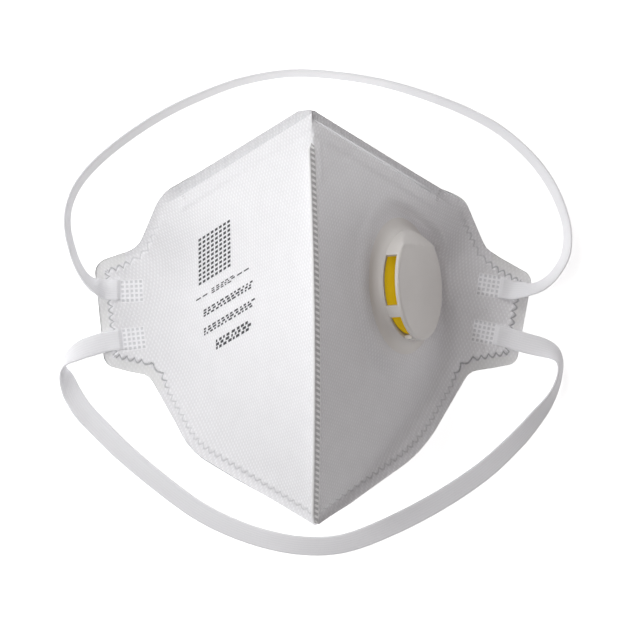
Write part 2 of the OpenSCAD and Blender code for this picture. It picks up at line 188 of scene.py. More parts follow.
VALVE_GX = float(free_z(VALVE_X + 0.5, VALVE_Y) - free_z(VALVE_X - 0.5, VALVE_Y)) - SEAT_LEAN
VALVE_GY = float(free_z(VALVE_X, VALVE_Y + 0.5) - free_z(VALVE_X, VALVE_Y - 0.5))
VALVE_Z = float(free_z(VALVE_X, VALVE_Y))
VALVE_PITCH = atan(-VALVE_GX)
VALVE_ROLL = asin(VALVE_GY / sqrt(VALVE_GX ** 2 + VALVE_GY ** 2 + 1))
VALVE_PLACE = (
    Matrix.Translation(Vector((VALVE_X, VALVE_Y, VALVE_Z)) * MM)
    @ Matrix.Rotation(VALVE_PITCH, 4, "Y") @ Matrix.Rotation(VALVE_ROLL, 4, "X"))


NOSE_A = np.array([TIP_X, HALF_H])
NOSE_DIR = np.array([1, NOSE_SLANT]) / np.hypot(1, NOSE_SLANT)


def from_nose_edge(x, y):
    """Distance below the straight nose edge, seen from the front."""
    return -((x - NOSE_A[0]) * -NOSE_DIR[1] + (y - NOSE_A[1]) * NOSE_DIR[0])


def valve_distance(x, y):
    return np.hypot((x - VALVE_X) / FLAT_SQUEEZE, y - VALVE_Y)


def face_z(x, y, valve):
    """Outer face of a half; the half with the valve is flat under the valve."""
    if not valve:
        return free_z(x, y)
    z = free_z(x, y, SHARP_CREASE)
    share = 1 - smooth((valve_distance(x, y) - VALVE_FLAT_R) / (VALVE_BLEND_R - VALVE_FLAT_R))
    share = share * smooth((from_nose_edge(x, y) - SEAT_FROM_EDGE) / SEAT_FADE)
    plane = VALVE_Z + VALVE_GX * (x - VALVE_X) + VALVE_GY * (y - VALVE_Y)
    return z * (1 - share) + plane * share


def slopes(x, y, valve):
    gx = (face_z(x + 0.5, y, valve) - face_z(x, y, valve)) / 0.5
    gy = (face_z(x, y + 0.25, valve) - face_z(x, y - 0.25, valve)) / 0.5
    return np.minimum(gx, 0), gy


# ---- camera ----

scene = bpy.context.scene
VIEW_WIDTH = 227.0 * MM  # width that the camera takes in at the height of the nose tip
CAMERA_AWAY = 1.5
SENSOR = 36.0
CAMERA_YAW = radians(2.0)
CAMERA_ROLL = radians(-0.8)
AIM = Vector((-0.0005, 0.0018, 0.036))


def make_camera():
    data = bpy.data.cameras.new("camera")
    data.sensor_width = SENSOR
    data.lens = SENSOR * CAMERA_AWAY / VIEW_WIDTH
    camera = bpy.data.objects.new("camera", data)
    turn = Matrix.Rotation(-CAMERA_YAW, 4, "Y") @ Matrix.Rotation(CAMERA_ROLL, 4, "Z")
    camera.matrix_world = Matrix.Translation(AIM) @ turn @ Matrix.Translation((0, 0, CAMERA_AWAY))
    scene.collection.objects.link(camera)
    scene.camera = camera


make_camera()

# ---- helpers for meshes ----


def smooth_object(name, mesh, material):
    """A smoothly shaded object in the scene, made of the mesh."""
    mesh.polygons.foreach_set("use_smooth", np.ones(len(mesh.polygons), bool))
    mesh.materials.append(material)
    mesh.validate()
    obj = bpy.data.objects.new(name, mesh)
    scene.collection.objects.link(obj)
    return obj


def piece(name, points, faces, material, body=None, **marks):
    """A smooth mesh from points in millimetres; marks are vectors that the materials read at each point."""
    mesh = bpy.data.meshes.new(name)
    mesh.from_pydata((np.asarray(points, float) * MM).tolist(), [], [list(f) for f in faces])
    for mark, values in marks.items():
        attribute = mesh.attributes.new(mark, "FLOAT_VECTOR", "POINT")
        attribute.data.foreach_set("vector", np.asarray(values, np.float32).ravel())
    obj = smooth_object(name, mesh, material)
    if body:
        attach(obj, body)
    return obj


def grid_faces(rows, columns, flip=False):
    i, j = np.meshgrid(np.arange(rows - 1), np.arange(columns - 1), indexing="ij")
    a = (i * columns + j).ravel()
    quads = np.stack([a, a + columns, a + columns + 1, a + 1], axis=1)
    return quads[:, ::-1] if flip else quads


def tube_faces(rows, k, flip=False):
    """Faces of a tube of rings with k points each, closed at both ends."""
    a = np.arange(rows - 1)[:, None] * k + np.arange(k)
    b = np.arange(rows - 1)[:, None] * k + (np.arange(k) + 1) % k
    faces = np.stack([a, b, b + k, a + k], axis=2).reshape(-1, 4).tolist()
    faces += [list(range(k))[::-1], [(rows - 1) * k + i for i in range(k)]]
    return [face[::-1] for face in faces] if flip else faces


# ---- materials ----


class Nodes:
    """Short ways to build one material's nodes."""

    def __init__(self, name, **sockets):
        self.material = bpy.data.materials.new(name)
        self.material.use_nodes = True
        self.tree = self.material.node_tree
        self.shader = self.tree.nodes["Principled BSDF"]
        for key, value in sockets.items():
            self.shader.inputs[key.replace("_", " ")].default_value = value

    def add(self, kind, **settings):
        node = self.tree.nodes.new("ShaderNode" + kind)
        for key, value in settings.items():
            setattr(node, key, value)
        return node

    def link(self, a, b):
        self.tree.links.new(a, b)
        return b

    def math(self, operation, a, b=0.0, c=0.0, clamp=False):
        node = self.add("Math", operation=operation, use_clamp=clamp)
        for socket, value in zip(node.inputs, (a, b, c)):
            if isinstance(value, (int, float)):
                socket.default_value = value
            else:
                self.link(value, socket)
        return node.outputs[0]

    def place(self, name="cloth"):
        """The flat cloth's coordinates, in millimetres."""
        return self.add("Attribute", attribute_name=name).outputs["Vector"]

    def split(self, vector):
        node = self.add("SeparateXYZ")
        self.link(vector, node.inputs[0])
        return node.outputs

    def turned(self, vector, degrees, scale=(1, 1, 1)):
        node = self.add("Mapping")
        node.inputs["Rotation"].default_value = (0, 0, radians(degrees))
        node.inputs["Scale"].default_value = scale
        self.link(vector, node.inputs["Vector"])
        return node.outputs[0]

    def noise(self, vector, scale, detail=3.0, roughness=0.5):
        node = self.add("TexNoise")
        node.inputs["Scale"].default_value = scale
        node.inputs["Detail"].default_value = detail
        node.inputs["Roughness"].default_value = roughness
        self.link(vector, node.inputs["Vector"])
        return node.outputs["Fac"]

    def ramp(self, value, low, high, colour_low, colour_high):
        node = self.add("ValToRGB")
        node.color_ramp.elements[0].position = low
        node.color_ramp.elements[1].position = high
        node.color_ramp.elements[0].color = (*colour_low, 1)
        node.color_ramp.elements[1].color = (*colour_high, 1)
        self.link(value, node.inputs[0])
        return node.outputs["Color"]

    def mix(self, factor, a, b):
        node = self.add("Mix", data_type="RGBA")
        for socket, value in ((node.inputs[0], factor), (node.inputs[6], a), (node.inputs[7], b)):
            if isinstance(value, tuple):
                socket.default_value = (*value, 1)
            elif isinstance(value, float):
                socket.default_value = value
            else:
                self.link(value, socket)
        return node.outputs[2]

    def bump(self, height, distance, strength=1.0):
        node = self.add("Bump")
        node.inputs["Strength"].default_value = strength
        node.inputs["Distance"].default_value = distance
        self.link(height, node.inputs["Height"])
        self.link(node.outputs[0], self.shader.inputs["Normal"])

    def colour(self, socket):
        self.link(socket, self.shader.inputs["Base Color"])

    def object_place(self):
        return self.add("TexCoord").outputs["Object"]


SCALLOP, SCALLOP_PITCH = 1.5, 2.8
GRID_PITCH, GRID_CELL, GRID_N = 1.7, 1.0, 5


def pressed_colour(n, tone, pressed, strength):
    """Darkens the colour where a weld has pressed the cloth, and on the seam fin also paints shade."""
    press = n.math("MULTIPLY", n.split(n.place())[2], strength)
    n.colour(n.mix(press, tone, pressed))
    return press


def scalloped_line(n):
    """The rim weld's scalloped line and the pressed margin outside it, read from the rim marks."""
    off, run, strength = n.split(n.place("rim"))
    lobe = n.math("ABSOLUTE", n.math("SINE", n.math("MULTIPLY", run, pi / SCALLOP_PITCH)))
    off = n.math("ADD", off, n.math("MULTIPLY", n.math("SUBTRACT", lobe, 1.0), SCALLOP))
    line = n.math("SUBTRACT", 1.0, n.math("DIVIDE", n.math("ABSOLUTE", off), 0.62), clamp=True)
    outside = n.math("SUBTRACT", 0.5, off, clamp=True)
    return n.math("MULTIPLY", line, strength), n.math("MULTIPLY", outside, strength)


def weld_pits(n):
    """The square pits of a strap weld, read from the distances to the weld's middle."""
    u, v, _ = n.split(n.place("weld"))
    inside, near = [], []
    for t in (u, v):
        inside.append(n.math("LESS_THAN", n.math("ABSOLUTE", t), GRID_N * GRID_PITCH / 2))
        cell = n.math("FRACT", n.math("ADD", n.math("DIVIDE", t, GRID_PITCH), 20.5))
        away = n.math("MULTIPLY", n.math("ABSOLUTE", n.math("SUBTRACT", cell, 0.5)), GRID_PITCH)
        near.append(n.math("MULTIPLY", n.math("SUBTRACT", GRID_CELL / 2 + 0.12, away), 4.0, clamp=True))
    both = n.math("MULTIPLY", inside[0], inside[1])
    return both, n.math("MULTIPLY", n.math("MULTIPLY", near[0], near[1]), both)


def fabric(name, light, dark, relief, row=1.38, dot=0.75, angle=13.0, pressed=(0.50, 0.50, 0.52)):
    """Non-woven cloth with rows of small embossed dots and loose fibres."""
    n = Nodes(name, Roughness=0.9, Sheen_Weight=0.1, Sheen_Roughness=0.6, Specular_IOR_Level=0.25)
    x, y, _ = n.split(n.turned(n.place(), angle))
    across = n.math("COSINE", n.math("MULTIPLY", y, pi / row))
    along = n.math("COSINE", n.math("MULTIPLY", x, pi / dot))
    dots = n.math("MULTIPLY", across, along, clamp=True)
    fibres = n.noise(n.place(), 2.6, 4, 0.62)
    clouds = n.noise(n.place(), 0.16, 2, 0.5)
    tone = n.math("ADD", n.math("MULTIPLY", dots, 0.6),
                  n.math("ADD", n.math("MULTIPLY", fibres, 0.35), n.math("MULTIPLY", clouds, 0.25)))
    line, outside = scalloped_line(n)
    grid, pits = weld_pits(n)
    tone = n.mix(n.math("MULTIPLY", outside, 0.12), n.ramp(tone, 0.15, 0.85, dark, light), pressed)
    tone = n.mix(n.math("MULTIPLY", n.math("SUBTRACT", grid, pits), 0.9), tone, (0.93, 0.93, 0.95))
    tone = n.mix(n.math("MULTIPLY", pits, 0.75), tone, (0.60, 0.60, 0.62))
    tone = n.mix(line, tone, (0.40, 0.40, 0.42))
    press = pressed_colour(n, tone, pressed, 0.75)
    height = n.math("ADD", dots, n.math("MULTIPLY", fibres, 0.5))
    flat = n.math("SUBTRACT", 1.0, n.math("ADD", press, n.math("MULTIPLY", outside, 0.3)), clamp=True)
    n.bump(n.math("MULTIPLY", height, flat), relief * MM)
    return n.material


def weld_cloth(name, light, dark):
    """Fabric pressed smooth and slightly glassy by a weld; its darker pressed colour also paints shade on
    the seam fin's right face.
    """
    n = Nodes(name, Roughness=0.55, Specular_IOR_Level=0.4)
    grain = n.noise(n.place(), 1.8, 4, 0.6)
    pressed_colour(n, n.ramp(grain, 0.3, 0.7, dark, light), (0.42, 0.41, 0.42), 0.95)
    n.bump(grain, 0.10 * MM)
    return n.material


def elastic(name):
    """Knitted elastic band with fine cords along it; a faint painted glow lightens the band, most where the
    mask shades it.
    """
    n = Nodes(name, Roughness=0.8, Sheen_Weight=0.15, Sheen_Roughness=0.5, Specular_IOR_Level=0.3)
    # painted light: this faint emission brightens the strap where it lies in shade
    n.shader.inputs["Emission Color"].default_value = (0.095, 0.095, 0.10, 1)
    n.shader.inputs["Emission Strength"].default_value = 1.0
    _, y, _ = n.split(n.place())
    cords = n.math("COSINE", n.math("MULTIPLY", y, 2 * pi / 0.9))
    height = n.math("ADD", n.math("MULTIPLY", cords, 0.3), n.noise(n.place(), 2.0, 3, 0.6))
    grid, pits = weld_pits(n)
    tone = n.ramp(height, 0.2, 0.9, (0.76, 0.76, 0.78), (0.80, 0.80, 0.815))
    tone = n.mix(n.math("MULTIPLY", n.math("SUBTRACT", grid, pits), 0.8), tone, (0.86, 0.86, 0.88))
    tone = n.mix(n.math("MULTIPLY", pits, 0.7), tone, (0.52, 0.52, 0.54))
    press = pressed_colour(n, tone, (0.60, 0.60, 0.62), 0.5)
    n.bump(n.math("MULTIPLY", height, n.math("SUBTRACT", 1.0, press)), 0.02 * MM)
    return n.material


def plastic(name, base, shade, roughness=0.42, grain=0.02, painted_glow=(0, 0, 0)):
    """Moulded plastic with a faint satin grain, and an optional emission that paints extra light onto the
    part.
    """
    n = Nodes(name, Roughness=roughness, Specular_IOR_Level=0.45, IOR=1.49)
    place = n.object_place()
    cloud = n.noise(place, 60, 2, 0.5)
    fine = n.noise(place, 1800, 2, 0.5)
    n.colour(n.ramp(cloud, 0.3, 0.7, shade, base))
    n.shader.inputs["Emission Color"].default_value = (*painted_glow, 1)
    n.shader.inputs["Emission Strength"].default_value = 1.0 if any(painted_glow) else 0.0
    n.bump(fine, grain * MM)
    return n.material


def foam_material():
    n = Nodes("foam", Roughness=0.95, Specular_IOR_Level=0.2)
    cell = n.add("TexVoronoi", feature="F1")
    cell.inputs["Scale"].default_value = 1400
    n.link(n.object_place(), cell.inputs["Vector"])
    n.colour(n.ramp(cell.outputs["Distance"], 0.1, 0.8, (0.60, 0.60, 0.61), (0.80, 0.80, 0.81)))
    n.bump(cell.outputs["Distance"], 0.25 * MM)
    return n.material


def metal_material():
    n = Nodes("clip_metal", Metallic=1.0, Roughness=0.38)
    streak = n.noise(n.turned(n.object_place(), 0, (40, 900, 900)), 3, 3, 0.6)
    n.colour(n.ramp(streak, 0.3, 0.7, (0.66, 0.66, 0.68), (0.80, 0.80, 0.82)))
    n.bump(streak, 0.02 * MM)
    return n.material


def ink_material():
    n = Nodes("ink", Roughness=0.7, Specular_IOR_Level=0.3)
    speck = n.noise(n.object_place(), 2500, 2, 0.6)
    n.colour(n.ramp(speck, 0.3, 0.7, (0.05, 0.05, 0.055), (0.12, 0.12, 0.13)))
    return n.material


OUTER = fabric("outer_fabric", (0.92, 0.92, 0.94), (0.78, 0.775, 0.795), 0.08)
SUPPORT = fabric("support_fabric", (0.88, 0.88, 0.88), (0.80, 0.80, 0.80), 0.05)
FILTER = fabric("filter_fabric", (0.86, 0.88, 0.90), (0.80, 0.82, 0.84), 0.03)
LINING = fabric("lining_fabric", (0.90, 0.90, 0.90), (0.82, 0.82, 0.82), 0.08, row=1.0, dot=1.0, angle=0)
SEAM = weld_cloth("seam_weld", (1.0, 1.0, 1.0), (0.94, 0.94, 0.95))
ELASTIC = elastic("strap_elastic")
VALVE = plastic("valve_plastic", (0.75, 0.725, 0.70), (0.72, 0.695, 0.67))
# painted light: the flap's emission makes its yellow brighter than its lighting alone gives
FLAP = plastic("flap_rubber", (0.92, 0.68, 0.01), (0.88, 0.64, 0.01), 0.5, 0.01, painted_glow=(0.17, 0.115, 0.002))
FOAM = foam_material()
METAL = metal_material()
INK = ink_material()

# ---- head straps ----

TAPER = 8.2              # length of the strap's end that the weld has flattened
WELD_GRIDS = {           # centre x, y and turn in degrees of each strap weld, on the left and the right tab
    "left": [(-66.2, 10.7, 2), (-65.7, -7.0, 6)],
    "right": [(66.4, 10.9, -10), (64.2, -6.4, -12)],
}


def grid_place(x, y):
    """Each point's distances to the middle of the nearest strap weld, along and across it."""
    best = np.full(np.shape(x), 1e9)
    place = np.zeros(np.shape(x) + (3,))
    for cx, cy, turn in WELD_GRIDS["left"] + WELD_GRIDS["right"]:
        c, s = cos(radians(turn)), sin(radians(turn))
        u, v = (x - cx) * c + (y - cy) * s, -(x - cx) * s + (y - cy) * c
        near = np.hypot(u, v)
        place[near < best] = np.stack([u, v, 0 * u], axis=-1)[near < best]
        best = np.minimum(near, best)
    return place


def grid_weld(x, y, centres):
    """Square pits of the strap welds; x counts from the middle of the mask to the right."""
    total = np.zeros(np.shape(x))
    for cx, cy, turn in centres:
        c, s = cos(radians(turn)), sin(radians(turn))
        u = ((x - cx) * c + (y - cy) * s) / GRID_PITCH
        v = (-(x - cx) * s + (y - cy) * c) / GRID_PITCH
        inside = (np.abs(u) < GRID_N / 2) & (np.abs(v) < GRID_N / 2)
        fu = np.abs((u + GRID_N / 2) % 1 - 0.5) * GRID_PITCH
        fv = np.abs((v + GRID_N / 2) % 1 - 0.5) * GRID_PITCH
        pit = smooth((GRID_CELL / 2 - fu + 0.15) / 0.3) * smooth((GRID_CELL / 2 - fv + 0.15) / 0.3)
        total = total + np.where(inside, pit, 0)
    return total


def spline(points, step):
    """Smooth curve through the points, with closer steps at both ends."""
    p = np.asarray(points, float)
    p = np.vstack([2 * p[0] - p[1], p, 2 * p[-1] - p[-2]])
    t = np.linspace(0, 1, 24, endpoint=False)[:, None]
    out = []
    for a, b, c, d in zip(p, p[1:], p[2:], p[3:]):
        out.append(0.5 * (2 * b + (c - a) * t + (2 * a - 5 * b + 4 * c - d) * t ** 2
                          + (3 * b - a - 3 * c + d) * t ** 3))
    q = np.vstack(out + [p[-2]])
    run = np.concatenate([[0], np.cumsum(np.linalg.norm(np.diff(q[:, :3], axis=0), axis=1))])
    fine = np.arange(0, 14, 0.24)
    at = np.concatenate([fine, np.linspace(14, run[-1] - 14, int(run[-1] / step)), run[-1] - fine[::-1]])
    return np.stack([np.interp(at, run, q[:, k]) for k in range(q.shape[1])], axis=1), at


def strap(name, route):
    """An elastic band swept along its route, flattened where its ends are welded to the tabs."""
    line, run = spline(route, 0.6)
    length = run[-1]
    centre = line[:, :3].copy()
    to_end = np.minimum(run, length - run)
    pressed = 1 - smooth((to_end - TAPER) / 1.8)
    thick = STRAP_T * (1 - 0.7 * pressed)
    on_tab = 1 - smooth((to_end - 12) / 7)
    top = face_z(np.abs(centre[:, 0]), centre[:, 1], False)
    centre[:, 2] = centre[:, 2] * (1 - on_tab) + (top + thick / 2 - 0.1 * pressed) * on_tab
    along = np.gradient(centre, axis=0)
    along /= np.linalg.norm(along, axis=1)[:, None]
    side = np.stack([along[:, 1], -along[:, 0], np.zeros(len(along))], axis=1)
    side /= np.linalg.norm(side, axis=1)[:, None]
    up = np.cross(side, along)
    roll = np.radians(line[:, 3])[:, None]
    wide = side * np.cos(roll) + up * np.sin(roll)
    thin = up * np.cos(roll) - side * np.sin(roll)
    across = np.sin(np.linspace(-1, 1, 35) * pi / 2) * 0.35 + np.linspace(-1, 1, 35) * 0.65
    edge = np.sqrt(np.clip(1 - np.abs(across) ** 10, 0, 1))
    cord = 1 + 0.10 * np.cos(across * pi * 10)
    upper = np.stack([across, edge * cord], axis=1)
    lower = np.stack([across[::-1], -edge[::-1] * cord[::-1]], axis=1)[1:-1]
    section = np.vstack([upper, lower])
    points = (centre[:, None] + wide[:, None] * section[None, :, :1] * STRAP_W / 2
              + thin[:, None] * section[None, :, 1:] * thick[:, None, None] / 2)
    rows, k = points.shape[:2]
    faces = tube_faces(rows, k)
    pits = grid_weld(points[..., 0], points[..., 1], WELD_GRIDS["left"] + WELD_GRIDS["right"])
    pits = pits * (np.abs(section[None, :, 0]) < 0.98) * pressed[:, None]
    points[..., 2] -= 0.12 * pits
    near_weld = 0.5 * smooth((15 - to_end) / 6) * smooth((to_end - TAPER + 0.4) / 0.8)
    cloth = np.stack([np.repeat(run, k), np.tile(section[:, 0] * STRAP_W / 2, rows),
                      np.repeat(near_weld, k)], axis=1)
    weld = grid_place(points[..., 0], points[..., 1])
    obj = piece(name, points.reshape(-1, 3), faces, ELASTIC, cloth=cloth, weld=weld.reshape(-1, 3))
    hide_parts(name)
    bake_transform(obj)
    return obj


strap("upper_strap", UPPER_ROUTE)
strap("lower_strap", LOWER_ROUTE)

# ---- plies ----

MARGIN_TAB, MARGIN_LOW = 3.7, 2.7
HOLE_R = 17.2            # hole through the plies for the valve
TICKS_X, TICKS_Y = 47.2, 44.0


def near_rim(x, y, side):
    """Distance of each point from the rim and how far along the rim it is."""
    rim, rim_run = RIMS[side]
    flat = np.stack([np.ravel(x), np.ravel(y)], axis=1)
    gap = np.zeros(len(flat))
    where = np.zeros(len(flat))
    for start in range(0, len(flat), 4000):
        part = flat[start:start + 4000]
        d = np.hypot(part[:, None, 0] - rim[None, :, 0], part[:, None, 1] - rim[None, :, 1])
        k = np.clip(d.argmin(axis=1), 1, len(rim) - 2)
        a, b = rim[k - 1], rim[k + 1]
        ab = b - a
        t = np.clip(((part - a) * ab).sum(1) / (ab ** 2).sum(1), 0, 1)
        gap[start:start + 4000] = np.linalg.norm(part - (a + ab * t[:, None]), axis=1)
        where[start:start + 4000] = rim_run[k - 1] + t * (rim_run[k + 1] - rim_run[k - 1])
    return gap.reshape(np.shape(x)), where.reshape(np.shape(x))


def run_at(y):
    return float(np.interp(-y, -RIMS["left"][0][:, 1], RIMS["left"][1]))


NOSE_END, TAB_FROM, TAB_TO = run_at(46.5), run_at(24.0), run_at(-21.5)


def rim_marks(d, run):
    """Distance inside the weld's margin, run along the rim and strength of the weld."""
    on_tab = smooth((run - TAB_FROM + 6) / 8) * (1 - smooth((run - TAB_TO - 2) / 8))
    margin = MARGIN_LOW + (MARGIN_TAB - MARGIN_LOW) * on_tab
    strength = smooth((run - NOSE_END - 4) / 16) * (0.45 + 0.55 * on_tab)
    return np.stack([d - margin, run, strength], axis=-1)


def rim_weld(d, run):
    """Depth of the rim weld's pressing."""
    off, _, strength = np.moveaxis(rim_marks(d, run), -1, 0)
    off = off - SCALLOP * (1 - np.abs(np.sin(pi * run / SCALLOP_PITCH)))
    outside = 1 - smooth((off + 0.5) / 0.8)
    groove = np.exp(-(off / 0.5) ** 2)
    puff = np.exp(-((off - 1.1) / 0.8) ** 2)
    return strength * (0.38 * outside + 0.30 * groove - 0.20 * puff)


def nose_weld(x, y):
    """Pressed margin and raised clip channel along the nose edge, and two short rows of weld ticks."""
    d = from_nose_edge(x, y)
    keep = (1 - smooth((x - 49) / 5)) * (d > -3)
    outside = 1 - smooth((d - 2.9) / 0.9)
    grain = 0.5 + 0.5 * np.sin(x * 4.1 + 3 * np.sin(d * 2.7)) * np.sin(d * 5.3 + 2 * np.sin(x * 1.9))
    channel = smooth((d - 3.2) / 1.4) * (1 - smooth((d - 7.4) / 1.8)) * (1 - smooth((x - CLIP_REACH) / 2.5))
    deep = (0.42 * outside * (0.75 + 0.5 * grain) - 0.50 * channel) * keep
    press = 0.5 * outside * (0.5 + 0.8 * grain) * keep
    across = (x - TICKS_X) * NOSE_DIR[0] + (y - TICKS_Y) * NOSE_DIR[1]
    down = (x - TICKS_X) * NOSE_DIR[1] - (y - TICKS_Y) * NOSE_DIR[0]
    teeth = smooth((np.cos(2 * pi * down / 1.1) - 0.1) / 0.5)
    tick = np.exp(-(across / 0.55) ** 4) * teeth * (np.abs(down) < 2.2)
    return deep + 0.3 * tick, np.maximum(press, 0.8 * tick)


def seam_marks(x, y):
    """A faint second row of slanted dashes beside the upper end of the seam, and the fold next to it."""
    phase = ((y + 0.9 * (x - 4.2)) / 1.9) % 1
    dash = np.exp(-((x - 4.2 + (y - 54) * 0.03) / 0.5) ** 4) * smooth((0.32 - np.abs(phase - 0.5)) / 0.15)
    dash = dash * smooth((y - 47) / 2) * (1 - smooth((y - 58) / 2))
    fold = np.exp(-((x - 2.4) / 0.8) ** 2) * smooth((y - 44) / 8) * (1 - smooth((y - 62) / 3))
    return -0.16 * dash - 0.25 * fold


def soft_waves(x, y, seed):
    """Gentle unevenness of a sheet of cloth, between about -0.5 and 0.5."""
    rng = np.random.default_rng(seed)
    total = np.zeros(np.shape(x))
    for _ in range(14):
        angle, size, phase = rng.uniform(0, pi), rng.uniform(14, 46), rng.uniform(0, 2 * pi)
        total = total + np.sin((x * cos(angle) + y * sin(angle)) * 2 * pi / size + phase) * size / 46
    return total / 8


def outer_relief(side):
    def relief(x, y, d, run):
        signed = x if side == "right" else -x
        nose_deep, nose_press = nose_weld(x, y - (LEFT_NOSE_RISE if side == "left" else 0))
        pits = grid_weld(signed, y, WELD_GRIDS[side])
        waves = 0.28 * soft_waves(signed, y, 5) * smooth(d / 9) * smooth(x / 12)
        marks = seam_marks(x, y)
        if side == "right":
            waves = waves * smooth((valve_distance(x, y) - 25) / 8)
        else:
            marks = marks * 0
        deep = rim_weld(d, run) + nose_deep + 0.15 * pits + waves + marks
        return deep, np.clip(nose_press, 0, 1)
    return relief


def lining_relief(side):
    def relief(x, y, d, run):
        signed = x if side == "right" else -x
        waves = 0.1 * soft_waves(signed, y, 9) * smooth(d / 9) * smooth(x / 12)
        return waves - 0.5 * rim_weld(d, run), np.zeros(np.shape(x))
    return relief


def clip_space(x, y):
    near = 1 - smooth((from_nose_edge(x, y) - ROOM_FULL) / (ROOM_END - ROOM_FULL))
    return CLIP_ROOM * near * (1 - smooth((x - CLIP_REACH - 4) / 8))


def spread(columns):
    """Shares of the half width: close together at the seam and at the rim."""
    a, b = round(columns * 0.08), round(columns * 0.34)
    return np.concatenate([
        np.linspace(0, 0.07, a, endpoint=False),
        np.linspace(0.07, 0.58, b, endpoint=False),
        np.linspace(0.58, 1, columns - a - b)])


def ply_grid(side, rim, columns, depth, relief):
    """Points of one face of a ply, their place on the flat cloth and how strongly they are pressed."""
    x = spread(columns)[None, :] * rim[:, :1]
    y = np.repeat(rim[:, 1:], columns, axis=1)
    round_x = np.sqrt(x ** 2 + RIDGE_ROUND ** 2) - RIDGE_ROUND
    valve = side == "right"
    z = face_z(round_x, y, valve)
    gx, gy = slopes(round_x, y, valve)
    d, run = near_rim(x, y, side)
    away = np.full(x.shape, float(depth))
    if depth > OUTER_T:
        away = away + clip_space(x, y)
    pinched = 0.45 * (1 - smooth((d - 1.5) / 3.5)) * smooth((run - NOSE_END) / 12)
    away = away * (1 - pinched) + STACK_T * 0.8 * pinched
    press = np.zeros(x.shape)
    if relief:
        deep, press = relief(x, y, d, run)
        away = away + deep
    normal = np.stack([-gx * smooth(x / 2.5), -gy, np.ones_like(gx)], axis=-1)
    normal /= np.linalg.norm(normal, axis=-1)[..., None]
    lift = np.sqrt(1 + gx ** 2 * (1 - smooth(x / 2.5)) ** 2)
    points = np.stack([x, y, z], axis=-1) - normal * (away * lift)[..., None]
    points[:, 0, 0] = 0
    sign = 1 if valve else -1
    steps = np.hypot(np.diff(x), np.diff(z))
    arc = np.concatenate([np.zeros((len(x), 1)), np.cumsum(steps, axis=1)], axis=1)
    points[..., 0] *= sign
    marks = {"cloth": np.stack([arc, y * 1.12, press], axis=-1), "rim": rim_marks(d, run)}
    marks["weld"] = grid_place(points[..., 0], points[..., 1]) + (0 if relief else 99)
    return points, marks


def outside_hole(points, faces, radius):
    """The faces that lie outside the valve's hole."""
    place = np.array(VALVE_PLACE.inverted())
    local = points * MM @ place[:3, :3].T + place[:3, 3]
    inside = (points[:, 0] > 0) & (np.hypot(local[:, 0], local[:, 1]) < radius * MM)
    return faces[~inside[faces].any(axis=1)]


def ply(node, material, columns, step, top, bottom, relief=None, faces_down=False):
    """A ply as one face and its cut edge; faces_down takes its lower face."""
    side = node.rsplit("_", 1)[1]
    rim = RIMS[side][0][::step]
    if (len(RIMS[side][0]) - 1) % step:
        rim = np.vstack([rim, RIMS[side][0][-1]])
    seen, other = (bottom, top) if faces_down else (top, bottom)
    points, marks = ply_grid(side, rim, columns, seen, relief)
    under, _ = ply_grid(side, rim, columns, other, relief)
    rows = len(rim)
    turn = (side == "left") != faces_down
    faces = grid_faces(rows, columns, not turn)
    outer_edge = np.arange(rows) * columns + columns - 1
    skirt = rows * columns + np.arange(rows)
    edge = np.stack([outer_edge[:-1], outer_edge[1:], skirt[1:], skirt[:-1]], axis=1)
    edge = edge[:, ::-1] if turn else edge
    everything = np.vstack([points.reshape(-1, 3), under[:, -1]])
    if side == "right":
        faces = outside_hole(everything, faces, HOLE_R)
    marks = {name: np.vstack([values.reshape(-1, 3), values[:, -1]]) for name, values in marks.items()}
    obj = piece(node, everything, np.vstack([faces, edge]).tolist(), material, **marks)
    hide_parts(node)
    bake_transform(obj)
    return obj


DETAIL = 200
STEP = 1
for side in ("left", "right"):
    ply("outer_panel_" + side, OUTER, DETAIL, STEP, 0.0, OUTER_T, outer_relief(side))
    ply("support_ply_" + side, SUPPORT, 60, 4, SUPPORT_TOP, SUPPORT_TOP + SUPPORT_T)
    ply("filter_ply_" + side, FILTER, 60, 4, FILTER_TOP, FILTER_TOP + FILTER_T)
    ply("lining_" + side, LINING, 130, 2, LINING_TOP, STACK_T, lining_relief(side), True)

# ---- seam fin ----

FIN_PITCH = 2.05


